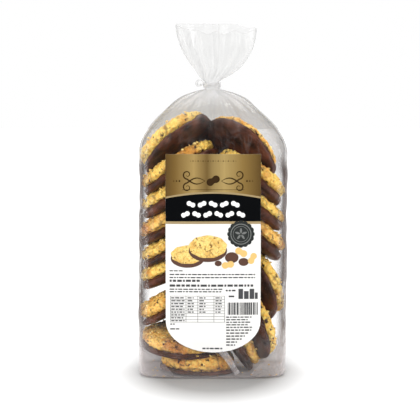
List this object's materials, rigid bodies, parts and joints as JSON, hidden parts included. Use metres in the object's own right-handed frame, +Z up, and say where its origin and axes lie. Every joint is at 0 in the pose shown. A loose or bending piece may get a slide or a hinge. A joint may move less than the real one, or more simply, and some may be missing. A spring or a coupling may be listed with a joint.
{
  "type": "bag of peanut cookies",
  "caption": "Clear block-bottom film bag of chocolate-based peanut cookies, gathered and taped at the neck, with a long round-ended front label.",
  "frame": {"origin": "middle of the base, on the surface the bag stands on", "axes": "+Z up from the base to the open mouth; the label faces -Y; +X is to the right of a viewer who faces the label"},
  "size_m": [0.1032, 0.0676, 0.243],
  "materials": {
    "film": "clear, glossy, creased",
    "label_paper": "coated white",
    "label_gold": "satin metallic print",
    "label_black": "satin print",
    "tape": "clear, glossy",
    "dough": "baked, grainy with chopped nuts",
    "chocolate": "satin"
  },
  "bodies": {
    "root": {"film_bag": "film", "label": "label_paper", "neck_tape": "tape"}
  },
  "joints": []
}
